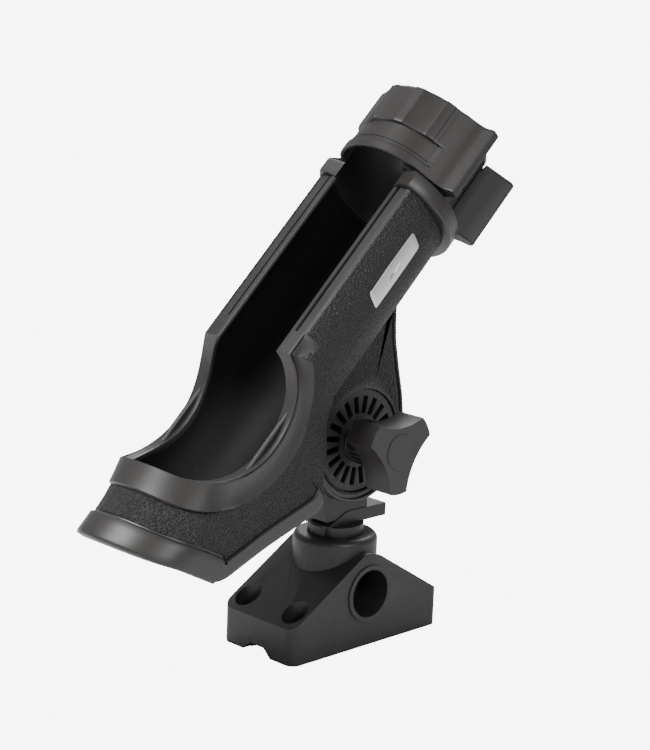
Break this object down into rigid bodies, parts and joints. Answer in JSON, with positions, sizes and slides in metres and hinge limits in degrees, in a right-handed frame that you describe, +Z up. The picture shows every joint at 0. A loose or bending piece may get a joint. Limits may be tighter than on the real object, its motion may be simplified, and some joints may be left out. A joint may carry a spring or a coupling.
{
  "type": "rod holder",
  "caption": "Clamp-on fishing rod holder: open trough with a turning lock ring, tilting on a post that swivels in a screw-down deck mount.",
  "frame": {"origin": "centre of the deck mount's screw pattern, on its bottom face", "axes": "+Z up off the deck, +X along the deck mount the way the rod points, -Y is the clamp knob's side"},
  "size_m": [0.2306, 0.0751, 0.2525],
  "materials": {
    "mount_plastic": "smooth satin black moulding",
    "post_plastic": "smooth satin black moulding",
    "grained_plastic": "leather-grained sides with smooth rims",
    "liner_plastic": "smooth satin",
    "ring_plastic": "smooth satin",
    "disc_plastic": "smooth satin",
    "knob_plastic": "smooth satin",
    "stainless": "plain stainless steel",
    "insert_brass": "turned brass",
    "badge_metal": "blank silver plate"
  },
  "bodies": {
    "deck_mount": {"mount_base": "mount_plastic"},
    "post": {"swivel_post": "post_plastic"},
    "cradle": {"cradle_shell": "grained_plastic", "cradle_liner": "liner_plastic", "near_ratchet_disc": "disc_plastic", "far_ratchet_disc": "disc_plastic", "pivot_bolt": "stainless", "badge_plate": "badge_metal"},
    "ring": {"lock_ring": "ring_plastic"},
    "washer": {"knob_washer": "stainless"},
    "knob": {"clamp_knob": "knob_plastic", "knob_insert": "insert_brass", "knob_cap": "knob_plastic"}
  },
  "joints": [
    {"name": "post_swivel", "type": "hinge", "parent": "deck_mount", "child": "post", "pos_m": [0, 0, 0.03], "axis": [0, 0, 1], "continuous": true},
    {"name": "cradle_tilt", "type": "hinge", "parent": "post", "child": "cradle", "pos_m": [0, 0, 0.095], "axis": [0, -1, 0], "range_deg": [-44, 30]},
    {"name": "ring_turn", "type": "hinge", "parent": "cradle", "child": "ring", "pos_m": [0.04248, 0, 0.21944], "axis": [-0.7193, 0, -0.6947], "range_deg": [0, 115]},
    {"name": "knob_travel", "type": "slide", "parent": "cradle", "child": "washer", "axis": [0, -1, 0], "range_m": [0, 0.0025]},
    {"name": "knob_turn", "type": "hinge", "parent": "washer", "child": "knob", "pos_m": [0, -0.03, 0.095], "axis": [0, -1, 0], "range_deg": [0, 720]}
  ],
  "couplings": [
    {"joint": "knob_travel", "follows": "knob_turn", "m_per_rad": 0.00019894}
  ]
}
